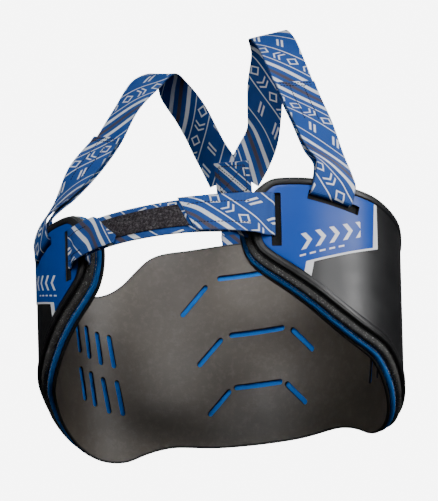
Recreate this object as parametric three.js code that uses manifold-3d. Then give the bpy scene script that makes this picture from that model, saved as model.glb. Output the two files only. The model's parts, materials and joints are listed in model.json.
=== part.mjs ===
// Rib protector: a stiff curved shell, open at the front, with foam pads and a slotted liner inside,
// two shoulder straps that meet at the back, a short back strap and a front strap with a loop patch.
// Millimetres. +Z is up, -Y is the open front, +X is the wearer's left side.
// The origin is in the middle of the torso hollow, halfway up the back.
import * as THREE from 'three';
import { mergeVertices } from 'three/addons/utils/BufferGeometryUtils.js';
import Module from 'manifold-3d';

const wasm = await Module();
wasm.setup();

// Shell
const halfWidth = 182.9;        // middle to the outer face at the side
const halfDepth = 120.3;        // middle to the outer face at the back
const backHalfHeight = 108;     // half the height of the padding at the middle of the back
const wallLean = 0.035 / 180;   // how much wider the wall gets for each millimetre up
const shellWall = 2.5;
const rimWidth = 6.4;           // raised band along every edge of the shell
const rimRise = 1.2;
const clearance = 0.3;          // gap between pieces that touch

// Padding, from the outside in
const foamOuterWall = 5.4;
const foamMiddleWall = 4.6;
const linerWall = 2.8;
const foamOuterReach = 7.5;     // how far each layer stands beyond the shell's edge
const foamMiddleReach = 11;
const linerReach = 12.5;
const topReachShare = 0.25;     // the same along the top edge, as a share of the above
const foamRound = 2;            // rounding of a foam pad's edge

// Webbing
const webWidth = 40;
const webThick = 1.5;
const bendRoom = 0.3;           // extra gap where the webbing follows the shell's curve
const shoulderHeight = 278;     // top of the shoulder straps
const shoulderTilt = 9;         // how much higher the left strap is worn than the middle of the two
const tailLean = 20;            // sideways lean of the straps' meeting point
const patchWidth = 26;
const patchThick = 1.3;
const decalThick = 0.4;

// Slots in the shell, and the cuts in the liner
const slotWidth = 9;
const slotPlay = 10;            // how much longer a slot is than the webbing is wide
const sideSlot = { angle: 145.2, height: 0.435 };        // front strap; height: share of backHalfHeight
const shoulderSlot = { angle: 125.6, height: 0.602 };
const shoulderSlotSlant = 13.5;
const backSlotDrop = 17;        // from the shell's top edge to the middle of the back slot
const cutWidth = 5.4;

// Outline of the shell at its edge. angle: degrees round the body from the middle of the back.
// height: share of backHalfHeight.
const topEdge = [
  { angle: 0, height: 0.972 }, { angle: 12, height: 0.977 }, { angle: 24, height: 0.957 },
  { angle: 34, height: 0.929 }, { angle: 39, height: 0.873 }, { angle: 44, height: 0.757 },
  { angle: 50, height: 0.612 }, { angle: 57, height: 0.51 }, { angle: 65, height: 0.465 },
  { angle: 74, height: 0.495 }, { angle: 84, height: 0.575 }, { angle: 96, height: 0.645 },
  { angle: 108, height: 0.715 }, { angle: 118, height: 0.75 }, { angle: 130, height: 0.795 },
  { angle: 141, height: 0.803 }, { angle: 146.5, height: 0.785 }, { angle: 150, height: 0.712 },
  { angle: 152, height: 0.62 },
];
const bottomEdge = [
  { angle: 0, height: -0.875 }, { angle: 15, height: -0.87 }, { angle: 31, height: -0.845 },
  { angle: 38, height: -0.872 }, { angle: 44, height: -0.917 }, { angle: 52, height: -0.985 },
  { angle: 62, height: -0.98 }, { angle: 73, height: -0.895 }, { angle: 87, height: -0.73 },
  { angle: 100, height: -0.56 }, { angle: 114, height: -0.443 }, { angle: 124, height: -0.312 },
  { angle: 132, height: -0.175 }, { angle: 140, height: -0.035 }, { angle: 147, height: 0.09 },
  { angle: 150.5, height: 0.175 }, { angle: 152, height: 0.26 },
];
const frontEdge = [{ angle: 152.7, height: 0.36 }, { angle: 152.7, height: 0.54 }];

// Cuts in the liner, one side. Ends at fromAngle, fromHeight and toAngle, toHeight.
const linerCuts = [
  { fromAngle: 26.6, fromHeight: 0.335, toAngle: 18.3, toHeight: 0.59 },
  { fromAngle: 20.9, fromHeight: -0.17, toAngle: 13.3, toHeight: 0.05 },
  { fromAngle: 17.5, fromHeight: -0.655, toAngle: 10.7, toHeight: -0.46 },
  { fromAngle: 76.1, fromHeight: 0.178, toAngle: 74.3, toHeight: -0.06 },
  { fromAngle: 69.9, fromHeight: 0.165, toAngle: 68.3, toHeight: -0.104 },
  { fromAngle: 63.6, fromHeight: 0.12, toAngle: 61.8, toHeight: -0.15 },
  { fromAngle: 57.4, fromHeight: 0.1, toAngle: 55.3, toHeight: -0.172 },
  { fromAngle: 73.9, fromHeight: -0.243, toAngle: 71.7, toHeight: -0.515 },
  { fromAngle: 67.6, fromHeight: -0.276, toAngle: 65.6, toHeight: -0.56 },
  { fromAngle: 60.9, fromHeight: -0.32, toAngle: 58.2, toHeight: -0.615 },
  { fromAngle: 54.1, fromHeight: -0.34, toAngle: 51.6, toHeight: -0.63 },
];
const linerMiddleCuts = [
  { halfAngle: 13.1, height: 0.67 }, { halfAngle: 9.3, height: 0.09 }, { halfAngle: 8, height: -0.425 },
];

// Route of a shoulder strap from the shell's top edge, over the shoulder, to the back.
// side and back: shares of halfWidth and halfDepth. up: share of shoulderHeight. lean: share of tailLean.
// faceSide, faceBack and faceUp: where the webbing's outer face looks. twist: the same way on both sides.
const shoulderRoute = [
  { side: 0.808, back: -0.546, up: 0.344, lean: 0, faceSide: 0.75, faceBack: -0.6, faceUp: 0, twist: 0.13 },
  { side: 0.739, back: -0.433, up: 0.436, lean: 0, faceSide: 0.63, faceBack: -0.68, faceUp: 0.07, twist: 0.17 },
  { side: 0.66, back: -0.323, up: 0.568, lean: 0, faceSide: 0.39, faceBack: -0.77, faceUp: 0.19, twist: 0.29 },
  { side: 0.572, back: -0.194, up: 0.692, lean: 0, faceSide: 0.35, faceBack: -0.79, faceUp: 0.32, twist: 0.24 },
  { side: 0.485, back: -0.1, up: 0.834, lean: 0, faceSide: 0.31, faceBack: -0.78, faceUp: 0.47, twist: 0.17 },
  { side: 0.389, back: 0.022, up: 0.962, lean: 0, faceSide: -0.11, faceBack: -0.52, faceUp: 0.79, twist: 0.18 },
  { side: 0.315, back: 0.137, up: 1.013, lean: 0, faceSide: -0.3, faceBack: -0.01, faceUp: 0.85, twist: 0.04 },
  { side: 0.298, back: 0.263, up: 0.963, lean: 0, faceSide: -0.08, faceBack: 0.54, faceUp: 0.69, twist: 0.06 },
  { side: 0.233, back: 0.389, up: 0.877, lean: 0.05, faceSide: 0, faceBack: 0.73, faceUp: 0.53, twist: 0.11 },
  { side: 0.194, back: 0.496, up: 0.802, lean: 0.15, faceSide: 0, faceBack: 0.78, faceUp: 0.4, twist: 0.15 },
  { side: 0.158, back: 0.59, up: 0.738, lean: 0.3, faceSide: 0.05, faceBack: 0.84, faceUp: 0.38, twist: 0.17 },
  { side: 0.105, back: 0.7, up: 0.685, lean: 0.55, faceSide: 0, faceBack: 0.88, faceUp: 0.47, twist: 0 },
  { side: 0.05, back: 0.77, up: 0.63, lean: 0.85, faceSide: 0, faceBack: 0.88, faceUp: 0.47, twist: 0 },
];
const shoulderShift = 3.5;      // straps forward of the middle of their slots
// The webbing's end is sewn down past this row of shoulderRoute, a share of the way to the next
const seam = { row: 3, left: 0.45, right: 0.12 };

// Route of the back strap above the shell. Same shares as above.
const tailRoute = [
  { back: 0.965, up: 0.44, lean: 1.08 },
  { back: 0.905, up: 0.505, lean: 1 },
  { back: 0.835, up: 0.57, lean: 0.92 },
  { back: 0.77, up: 0.63, lean: 0.83 },
  { back: 0.698, up: 0.687, lean: 0.75 },
];

// Front strap
const frontRise = 4.6;          // ends of the front strap above the middle of its slots
const frontSag = 0.2;            // how much lower its middle hangs
const frontBulge = 138;         // how far the middle of the strap stands forward
const frontBend = 2.2;          // shape of the bulge
const frontTilt = 22;           // degrees that the middle of the strap leans back at its top
// Along the front strap, as shares of the way from the middle to the left slot (+) or the right slot (-)
const foldEnd = { from: 0.327, skew: -10 };             // sewn end of the fold at the left slot
const tabEnd = { from: -0.634, to: -0.307, tip: -0.55 };       // tapered end of the fold at the right slot
const patchEnds = { from: -0.538, to: 0.298 };
const foldStations = [foldEnd.from, 0.46, 0.595, 0.73, 0.845];
const middleStations = [0.67, 0.56, 0.385, 0.19, 0, -0.19, -0.385, -0.56, -0.67];
const tabStations = [-0.845, -0.73, tabEnd.from];

const outlineSteps = 240;
const frontSteps = [12, 7, 3.2, 1.2];   // columns near the front edge, from the edge
const columns = 26;             // columns of a wall, from the middle of the back to the front edge
const ringsPerSection = 1.7;
const across = [-1, -1 / 3, 1 / 3, 1];

// Arc length round the wall's outer face, and back
const arcSteps = 360;
const arcTable = [0];
for (let i = 1; i <= arcSteps; i++) {
  const a = ((i - 1) * Math.PI) / arcSteps;
  const b = (i * Math.PI) / arcSteps;
  const dx = halfWidth * (Math.sin(b) - Math.sin(a));
  const dy = halfDepth * (Math.cos(b) - Math.cos(a));
  arcTable.push(arcTable[i - 1] + Math.hypot(dx, dy));
}
function arcAt(angle) {
  const t = (Math.abs(angle) / 180) * arcSteps;
  const i = Math.min(Math.floor(t), arcSteps - 1);
  return Math.sign(angle) * (arcTable[i] + (t - i) * (arcTable[i + 1] - arcTable[i]));
}
function angleAt(arc) {
  const a = Math.abs(arc);
  let i = 0;
  while (i < arcSteps - 1 && arcTable[i + 1] < a) {
    i++;
  }
  const t = i + (a - arcTable[i]) / (arcTable[i + 1] - arcTable[i]);
  return (Math.sign(arc) * t * 180) / arcSteps;
}

// A point on the wall: arc round the body, height, and distance out from the shell's outer face
function wallPoint(arc, height, out) {
  const a = THREE.MathUtils.degToRad(angleAt(arc));
  const k = 1 + wallLean * height;
  const nx = Math.sin(a) / halfWidth;
  const ny = Math.cos(a) / halfDepth;
  const n = Math.hypot(nx, ny);
  return new THREE.Vector3(
    halfWidth * k * Math.sin(a) + (out * nx) / n,
    halfDepth * k * Math.cos(a) + (out * ny) / n,
    height,
  );
}

// Outline of one half, moved out by reach, as a loop of (arc, height) points from top to bottom
function halfOutline(reach) {
  const rows = [...topEdge, ...frontEdge.slice().reverse(), ...bottomEdge.slice().reverse()];
  const points = rows.map((r) => new THREE.Vector3(arcAt(r.angle), r.height * backHalfHeight, 0));
  const line = new THREE.CatmullRomCurve3(points, false, 'centripetal').getPoints(outlineSteps);
  return line.map((p, i) => {
    const a = line[Math.max(i - 1, 0)];
    const b = line[Math.min(i + 1, line.length - 1)];
    const along = new THREE.Vector2(b.x - a.x, b.y - a.y).normalize();
    const row = (i / outlineSteps) * (rows.length - 1);
    const low = THREE.MathUtils.smoothstep(row, topEdge.length - 3, topEdge.length + 1);
    const out = reach > 0 ? reach * THREE.MathUtils.lerp(topReachShare, 1, low) : reach;
    return new THREE.Vector2(p.x - along.y * out, p.y + along.x * out);
  });
}
function heightAt(chain, arc) {
  for (let i = 1; i < chain.length; i++) {
    const a = chain[i - 1];
    const b = chain[i];
    if (arc >= Math.min(a.x, b.x) && arc <= Math.max(a.x, b.x) && a.x !== b.x) {
      return a.y + ((b.y - a.y) * (arc - a.x)) / (b.x - a.x);
    }
  }
  return chain[0].y;
}
// Top and bottom height of a layer at each column
function layerColumns(reach) {
  const outline = halfOutline(reach);
  let front = 0;
  outline.forEach((p, i) => {
    front = p.x > outline[front].x ? i : front;
  });
  const end = outline[front].x;
  const top = outline.slice(0, front + 1);
  const bottom = outline.slice(front).reverse();
  const arcs = [];
  for (let i = 0; i <= columns; i++) {
    arcs.push((i / columns) * (arcAt(frontEdge[0].angle) - frontSteps[0]));
  }
  frontSteps.filter((inset) => end - inset > arcs.at(-1) + 1).forEach((inset) => arcs.push(end - inset));
  arcs.push(end - 0.25);
  const half = arcs.map((arc) => ({ arc, top: heightAt(top, arc), bottom: heightAt(bottom, arc) }));
  const mirrored = half.slice(1).reverse().map((c) => ({ ...c, arc: -c.arc }));
  return [...mirrored, ...half];
}

// A closed solid from a grid of rings: each ring is a closed row of points, ends are capped
function loft(rings) {
  const n = rings[0].length;
  const corners = rings.flat();
  const vertices = corners.flatMap((p) => [p.x, p.y, p.z]);
  const faces = [];
  for (let r = 0; r < rings.length - 1; r++) {
    for (let i = 0; i < n; i++) {
      const a = r * n + i;
      const b = r * n + ((i + 1) % n);
      // the shorter diagonal, so that the two faces of a twisted band are split alike
      if (corners[a].distanceTo(corners[b + n]) < corners[b].distanceTo(corners[a + n])) {
        faces.push(a, b, b + n, a, b + n, a + n);
      } else {
        faces.push(a, b, a + n, b, b + n, a + n);
      }
    }
  }
  // a ring runs up one face and back down the other, so its cap is a strip between the two
  const last = (rings.length - 1) * n;
  for (let i = 0; i < n / 2 - 1; i++) {
    const a = i;
    const b = i + 1;
    const c = n - 2 - i;
    const d = n - 1 - i;
    faces.push(a, d, b, b, d, c);
    faces.push(last + a, last + b, last + d, last + b, last + c, last + d);
  }
  const geometry = new THREE.BufferGeometry();
  geometry.setAttribute('position', new THREE.Float32BufferAttribute(vertices, 3));
  geometry.setIndex(faces);
  return geometry;
}
function toSolid(geometry) {
  const merged = mergeVertices(geometry, 1e-5);
  const solid = new wasm.Manifold(new wasm.Mesh({
    numProp: 3,
    vertProperties: new Float32Array(merged.attributes.position.array),
    triVerts: new Uint32Array(merged.index.array),
  }));
  return solid;
}
function toGeometry(solid) {
  const mesh = solid.getMesh();
  const geometry = new THREE.BufferGeometry();
  geometry.setAttribute('position', new THREE.Float32BufferAttribute(mesh.vertProperties, 3));
  geometry.setIndex(new THREE.Uint32BufferAttribute(mesh.triVerts, 1));
  return geometry;
}

// The largest body of a cut solid, without the slivers that the cuts leave at its edge
function largest(solid) {
  return solid.decompose().sort((a, b) => b.volume() - a.volume())[0];
}

// One layer of the wall. profile: rows from the edge inwards, each with inset and the two faces' offsets.
function layer(reach, profile) {
  const rings = layerColumns(reach).map((c) => {
    const height = c.top - c.bottom;
    const inset = (row) => Math.min(row.inset, height * (0.5 * row.inset) / (row.inset + 6) + 0.02);
    const up = profile.map((row) => ({ z: c.bottom + inset(row), outer: row.outer, inner: row.inner }));
    const down = profile.slice().reverse().map((row) => (
      { z: c.top - inset(row), outer: row.outer, inner: row.inner }));
    const rows = [...up, ...down];
    const outer = rows.map((r) => wallPoint(c.arc, r.z, r.outer));
    const inner = rows.map((r) => wallPoint(c.arc, r.z, r.inner)).reverse();
    return [...outer, ...inner];
  });
  return toSolid(loft(rings));
}

// A prism through the wall over a polygon of (arc, height) points, counterclockwise
function prism(corners, out, inside) {
  const loop = [];
  corners.forEach((p, i) => {
    const q = corners[(i + 1) % corners.length];
    const steps = Math.max(1, Math.round(Math.abs(q.x - p.x) / 14));
    for (let s = 0; s < steps; s++) {
      loop.push(p.clone().lerp(q, s / steps));
    }
  });
  const n = loop.length;
  const flat = THREE.ShapeUtils.triangulateShape(loop, []);
  const vertices = [
    ...loop.map((p) => wallPoint(p.x, p.y, out)),
    ...loop.map((p) => wallPoint(p.x, p.y, inside)),
  ].flatMap((p) => [p.x, p.y, p.z]);
  const faces = [];
  flat.forEach(([a, b, c]) => {
    faces.push(a, c, b, n + a, n + b, n + c);
  });
  for (let i = 0; i < n; i++) {
    const j = (i + 1) % n;
    faces.push(i, j, n + i, j, n + j, n + i);
  }
  const geometry = new THREE.BufferGeometry();
  geometry.setAttribute('position', new THREE.Float32BufferAttribute(vertices, 3));
  geometry.setIndex(faces);
  return toSolid(geometry);
}

// A straight cut with round ends
function slotCutter(a, b, width, out, inside) {
  const along = new THREE.Vector2().subVectors(b, a).normalize();
  const side = new THREE.Vector2(-along.y, along.x);
  const loop = [];
  [[b, 1], [a, -1]].forEach(([centre, sign]) => {
    [-90, 0, 90].forEach((degrees) => {
      const t = THREE.MathUtils.degToRad(degrees);
      const p = centre.clone();
      p.addScaledVector(along, (sign * width * Math.cos(t)) / 2);
      p.addScaledVector(side, (sign * width * Math.sin(t)) / 2);
      loop.push(p);
    });
  });
  return prism(loop, out, inside);
}

// The straight slots that the webbing passes through: middle, direction and length
const slotLength = webWidth + slotPlay;
function slotFrame(angle, height, slant) {
  const middle = new THREE.Vector2(arcAt(angle), height);
  const tilt = THREE.MathUtils.degToRad(slant) * Math.sign(angle || 1);
  return { middle, along: new THREE.Vector2(Math.cos(tilt), Math.sin(tilt)) };
}
const sideSlotUp = sideSlot.height * backHalfHeight;
const backSlotHeight = topEdge[0].height * backHalfHeight - backSlotDrop;
const slotFrames = [
  slotFrame(shoulderSlot.angle, shoulderSlot.height * backHalfHeight, shoulderSlotSlant),
  slotFrame(-shoulderSlot.angle, shoulderSlot.height * backHalfHeight, shoulderSlotSlant),
  { middle: new THREE.Vector2(arcAt(sideSlot.angle), sideSlotUp), along: new THREE.Vector2(0, 1) },
  { middle: new THREE.Vector2(-arcAt(sideSlot.angle), sideSlotUp), along: new THREE.Vector2(0, 1) },
  { middle: new THREE.Vector2(-tailLean, backSlotHeight), along: new THREE.Vector2(1, 0) },
];
function shellSlots(out, inside) {
  return slotFrames.map(({ middle, along }) => {
    const half = slotLength / 2;
    const a = middle.clone().addScaledVector(along, -half);
    const b = middle.clone().addScaledVector(along, half);
    const across2 = new THREE.Vector2(-along.y, along.x).multiplyScalar(slotWidth / 2);
    const corners = [
      a.clone().sub(across2), b.clone().sub(across2), b.clone().add(across2), a.clone().add(across2),
    ];
    return prism(corners, out, inside);
  });
}

const decalCutDepth = 30;       // deep enough to pass the wall's curve
// Area of the printed panel, cut to the shell's rim where it reaches beyond it
const decalOutline = [
  { angle: 106.3, height: 0.25 }, { angle: 133.4, height: 0.074 }, { angle: 137, height: -0.37 },
  { angle: 158, height: -0.37 }, { angle: 158, height: 1.02 }, { angle: 106.3, height: 1.02 },
];

// Offsets of each layer's two faces from the shell's outer face
const shellInner = -shellWall;
const foamOuterOut = shellInner - clearance;
const foamOuterIn = foamOuterOut - foamOuterWall;
const foamMiddleOut = foamOuterIn - clearance;
const foamMiddleIn = foamMiddleOut - foamMiddleWall;
const linerOut = foamMiddleIn - clearance;
const linerIn = linerOut - linerWall;
const webOut = rimRise + clearance + bendRoom + webThick / 2;
const webIn = shellInner - clearance - bendRoom - webThick / 2;

function makeShell() {
  const body = layer(0, [
    { inset: 0, outer: rimRise * 0.5, inner: shellInner },
    { inset: 0.8, outer: rimRise, inner: shellInner },
  ]);
  const field = layer(-rimWidth, [{ inset: 0, outer: rimRise * 4, inner: 0 }]);
  return wasm.Manifold.difference([body, field, ...shellSlots(6, -8)]);
}
function foamProfile(out, inside) {
  return [
    { inset: 0, outer: out - foamRound, inner: inside + foamRound * 0.5 },
    { inset: foamRound, outer: out, inner: inside },
  ];
}

// Webbing: a ribbon lofted along sections, each a row of points on its middle surface
function ribbonRings(sections, thick, extra) {
  const tracks = across.map((_, k) => new THREE.CatmullRomCurve3(
    sections.map((s) => s[k]), false, 'centripetal'));
  const count = Math.round(sections.length * ringsPerSection);
  const rings = [];
  for (let i = 0; i <= count; i++) {
    const t = i / count;
    const points = tracks.map((c) => c.getPoint(t));
    const tangents = tracks.map((c) => c.getTangent(t));
    const wide = points.map((p, k) => {
      const a = points[Math.max(k - 1, 0)];
      const b = points[Math.min(k + 1, points.length - 1)];
      return new THREE.Vector3().subVectors(b, a).normalize();
    });
    const normals = wide.map((w, k) => w.clone().cross(tangents[k]).normalize());
    points[0].addScaledVector(wide[0], -extra);
    points.at(-1).addScaledVector(wide.at(-1), extra);
    const front = points.map((p, k) => p.clone().addScaledVector(normals[k], thick / 2));
    const back = points.map((p, k) => p.clone().addScaledVector(normals[k], -thick / 2)).reverse();
    rings.push([...front, ...back]);
  }
  return rings;
}
function ribbon(sections, thick = webThick, extra = 0) {
  return toSolid(loft(ribbonRings(sections, thick, extra)));
}
// Sections on the wall. lift: distance from the slot's middle, at right angles to the slot.
function wallSection(frame, lift, out, flip = 1) {
  const side = new THREE.Vector2(-frame.along.y, frame.along.x);
  return across.map((k) => {
    const p = frame.middle.clone();
    p.addScaledVector(frame.along, (k * flip * webWidth) / 2);
    p.addScaledVector(side, lift);
    return wallPoint(p.x, p.y, out);
  });
}
function shifted(frame, distance) {
  return { along: frame.along, middle: frame.middle.clone().addScaledVector(frame.along, distance) };
}
// Half turn of the webbing round the bridge between a slot and the shell's edge
function slotTurn(frame, direction, flip) {
  const radius = (webOut - webIn) / 2;
  const middle = (webOut + webIn) / 2;
  const edge = slotWidth / 2 + turnGap;
  return turnDegrees.map((degrees) => {
    const a = THREE.MathUtils.degToRad(degrees);
    return wallSection(frame, direction * (edge - radius * Math.cos(a)), middle + radius * Math.sin(a), flip);
  });
}
// Sections in the open: a middle point, the direction of the width and a surface offset
function freeSection(middle, width, along, offset = 0, skew = 0, low = -1, high = 1) {
  const w = width.clone().addScaledVector(along, -width.dot(along)).normalize();
  const n = new THREE.Vector3().crossVectors(w, along).normalize();
  return across.map((k) => {
    const share = low + ((k + 1) / 2) * (high - low);
    const p = middle.clone().addScaledVector(w, (share * webWidth) / 2);
    return p.addScaledVector(n, offset).addScaledVector(along, skew * share);
  });
}
function directions(points) {
  return points.map((p, i) => {
    const a = points[Math.max(i - 1, 0)];
    const b = points[Math.min(i + 1, points.length - 1)];
    return new THREE.Vector3().subVectors(b, a).normalize();
  });
}

// Where the webbing lies flat on the wall: distances from the middle of its slot
const wallLifts = {
  shoulderOut: [20, 10], shoulderIn: [9, 18], tailIn: [15, 8], tailOut: [10, 20],
  frontOut: 8, frontIn: [8, 16, 25],
};
const turnDegrees = [-60, -20, 20, 60];     // sections of a half turn round the bridge beside a slot
const turnGap = 0.35;                       // from the bridge to the webbing's middle line at the turn
const bondGap = 0.05;                       // extra gap between layers of webbing
const layerPitch = webThick + clearance + bondGap;
// Layers that each shoulder strap keeps off the back strap where the three are sewn together
const stackLayers = { left: 3.4, right: 2.2, fromRow: 8, rows: 2 };
// How far a folded end stands off the webbing under it, in layers: at a seam and at the shell's top edge
const spread = { seam: 1.5, shell: 2.6 };

// Shoulder strap: from its sewn end down the outside, round the bridge over its slot, up behind the shell,
// over the shoulder and down to the back
function shoulderSections(side) {
  const frame = shifted(slotFrames[side > 0 ? 0 : 1], side * shoulderShift);
  const points = shoulderRoute.map((r) => new THREE.Vector3(
    side * r.side * halfWidth - r.lean * tailLean,
    r.back * halfDepth,
    r.up * shoulderHeight + side * shoulderTilt * r.up ** 3 * (1 - r.lean)));
  const along = directions(points);
  const width = shoulderRoute.map((r, i) => new THREE.Vector3().crossVectors(
    along[i], new THREE.Vector3(side * r.faceSide + r.twist, r.faceBack, r.faceUp)));
  const free = (i, offset) => freeSection(points[i], width[i], along[i], offset);
  const layers = side > 0 ? stackLayers.left : stackLayers.right;
  const stack = (i) => (
    THREE.MathUtils.clamp((i - stackLayers.fromRow) / stackLayers.rows, 0, 1) * layers * layerPitch);
  const folded = (i) => {
    const lift = THREE.MathUtils.lerp(spread.shell, spread.seam, i / (seam.row + 1));
    return free(i, lift * layerPitch);
  };
  const beyond = folded(seam.row + 1);
  const end = [folded(seam.row).map((p, k) => p.lerp(beyond[k], side > 0 ? seam.left : seam.right))];
  for (let i = seam.row; i >= 0; i--) {
    end.push(folded(i));
  }
  return [
    ...end,
    ...wallLifts.shoulderOut.map((lift) => wallSection(frame, lift, webOut, -1)),
    ...slotTurn(frame, 1, -1).reverse(),
    ...wallLifts.shoulderIn.map((lift) => wallSection(frame, lift, webIn, -1)),
    ...points.map((_, i) => free(i, stack(i))),
  ];
}

// Back strap: short inner end, round the bridge over the back slot, up to where the shoulder straps meet
function tailSections() {
  const frame = slotFrames[4];
  const points = tailRoute.map((r) => new THREE.Vector3(
    -r.lean * tailLean, r.back * halfDepth, r.up * shoulderHeight));
  const along = directions(points);
  const width = new THREE.Vector3(1, 0, -0.1);
  return [
    freeSection(points[0], width, along[0], layerPitch),
    ...wallLifts.tailIn.map((lift) => wallSection(frame, lift, webIn)),
    ...slotTurn(frame, 1, 1),
    ...wallLifts.tailOut.map((lift) => wallSection(frame, lift, webOut)),
    ...points.map((p, i) => freeSection(p, width, along[i])),
  ];
}

// Front strap, from the sewn fold end at the left slot to the tapered tab at the right slot
const slotMiddle = wallPoint(arcAt(sideSlot.angle), sideSlotUp, 0);
function frontLine(x) {
  const share = Math.abs(x / slotMiddle.x) ** frontBend;
  const y = -frontBulge + (frontBulge + slotMiddle.y) * share;
  return new THREE.Vector3(x, y, sideSlotUp + frontRise - frontSag * Math.max(0, 1 - share));
}
function frontSection(station, forward, low = -1, high = 1, skew = 0) {
  const x = station * slotMiddle.x;
  const step = 1;
  const along = frontLine(x - step).sub(frontLine(x + step)).normalize();
  const share = 1 - Math.min(1, Math.abs(station)) ** 3;
  const tilt = THREE.MathUtils.degToRad(frontTilt * share);
  const up = new THREE.Vector3(0, Math.sin(tilt), Math.cos(tilt));
  return freeSection(frontLine(x), up, along, forward, -skew, low, high);
}
const tabForward = webThick + clearance * 2 + patchThick;
function frontSections() {
  const left = shifted(slotFrames[2], frontRise);
  const right = shifted(slotFrames[3], frontRise);
  const fold = foldStations.map((x, i) => (
    frontSection(x, spread.seam * layerPitch, -1, 1, i === 0 ? foldEnd.skew : 0)));
  const middle = middleStations.map((x) => frontSection(x, 0));
  const tab = tabStations.map((x) => frontSection(x, tabForward));
  const tip = frontSection(tabEnd.to, tabForward, -1, tabEnd.tip);
  const halfway = frontSection((tabEnd.from + tabEnd.to) / 2, tabForward, -1, (1 + tabEnd.tip) / 2);
  return [
    ...fold,
    wallSection(left, -wallLifts.frontOut, webOut),
    ...slotTurn(left, -1, 1).reverse(),
    ...wallLifts.frontIn.map((lift) => wallSection(left, -lift, webIn)),
    ...middle,
    ...wallLifts.frontIn.toReversed().map((lift) => wallSection(right, lift, webIn)),
    ...slotTurn(right, 1, 1),
    wallSection(right, wallLifts.frontOut, webOut),
    ...tab, halfway, tip,
  ];
}
function patchSections() {
  const forward = (webThick + patchThick) / 2 + clearance;
  const share = patchWidth / webWidth;
  const rows = [];
  const steps = 6;
  for (let i = 0; i <= steps; i++) {
    const x = THREE.MathUtils.lerp(patchEnds.to, patchEnds.from, i / steps);
    rows.push(frontSection(x, forward, -share, share, i === 0 ? foldEnd.skew : 0));
  }
  return rows;
}

// The printed panel on a front flap, inside the shell's rim. side: 1 left, -1 right.
function makeDecal(side) {
  const plate = layer(-rimWidth - clearance, [{ inset: 0, outer: clearance + decalThick, inner: clearance }]);
  const corners = decalOutline.map((c) => new THREE.Vector2(side * arcAt(c.angle), c.height * backHalfHeight));
  const area = prism(side > 0 ? corners : corners.reverse(), decalCutDepth, -decalCutDepth);
  const panel = wasm.Manifold.intersection([plate, area]);
  return largest(wasm.Manifold.difference([panel, ...shellSlots(6, -8)]));
}

const cutMargin = 5;
function makeLiner() {
  const plate = layer(linerReach, [{ inset: 0, outer: linerOut, inner: linerIn }]);
  const point = (angle, share) => new THREE.Vector2(arcAt(angle), share * backHalfHeight);
  const rows = [...linerMiddleCuts.map((c) => (
    { fromAngle: -c.halfAngle, fromHeight: c.height, toAngle: c.halfAngle, toHeight: c.height }))];
  linerCuts.forEach((c) => {
    rows.push(c, { ...c, fromAngle: -c.fromAngle, toAngle: -c.toAngle });
  });
  const cuts = rows.map((c) => slotCutter(point(c.fromAngle, c.fromHeight), point(c.toAngle, c.toHeight),
    cutWidth, linerOut + cutMargin, linerIn - cutMargin));
  return wasm.Manifold.difference([plate, ...cuts]);
}

// A foam pad, with room for the webbing that runs inside the shell
function makeFoam(reach, out, inside, pockets) {
  const pad = layer(reach, foamProfile(out, inside));
  return largest(wasm.Manifold.difference([pad, ...pockets]));
}

const group = new THREE.Group();
function add(name, solid, colour, roughness, metalness = 0) {
  const material = new THREE.MeshStandardMaterial({ color: colour, roughness, metalness });
  const mesh = new THREE.Mesh(toGeometry(solid), material);
  mesh.name = name;
  group.add(mesh);
}

const routes = {
  left: shoulderSections(1),
  right: shoulderSections(-1),
  tail: tailSections(),
  front: frontSections(),
};
const pockets = Object.values(routes).map((sections) => ribbon(sections, webThick + clearance * 2, clearance));
add('outer_shell', makeShell(), 0x1b1b1c, 0.38);
add('foam_outer', makeFoam(foamOuterReach, foamOuterOut, foamOuterIn, pockets), 0x3a3b3d, 0.9);
add('foam_middle', makeFoam(foamMiddleReach, foamMiddleOut, foamMiddleIn, pockets), 0x1766b8, 0.85);
add('liner_inner', makeLiner(), 0x4a4541, 0.6);
add('decal_left', makeDecal(1), 0x0f5fc4, 0.3);
add('decal_right', makeDecal(-1), 0x0f5fc4, 0.3);
add('shoulder_strap_left', ribbon(routes.left), 0x2457a8, 0.7);
add('shoulder_strap_right', ribbon(routes.right), 0x2457a8, 0.7);
add('back_strap', ribbon(routes.tail), 0x2457a8, 0.7);
add('front_strap', ribbon(routes.front), 0x2457a8, 0.7);
add('loop_patch', ribbon(patchSections(), patchThick), 0x2a2829, 0.95);

export default group;
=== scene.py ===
"""Looks of the rib protector: shell, foam pads, slotted liner, printed panels and webbing."""
import json
import math
import random

import bpy
import numpy as np
from mathutils import Matrix, Vector
from mathutils.geometry import delaunay_2d_cdt

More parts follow.
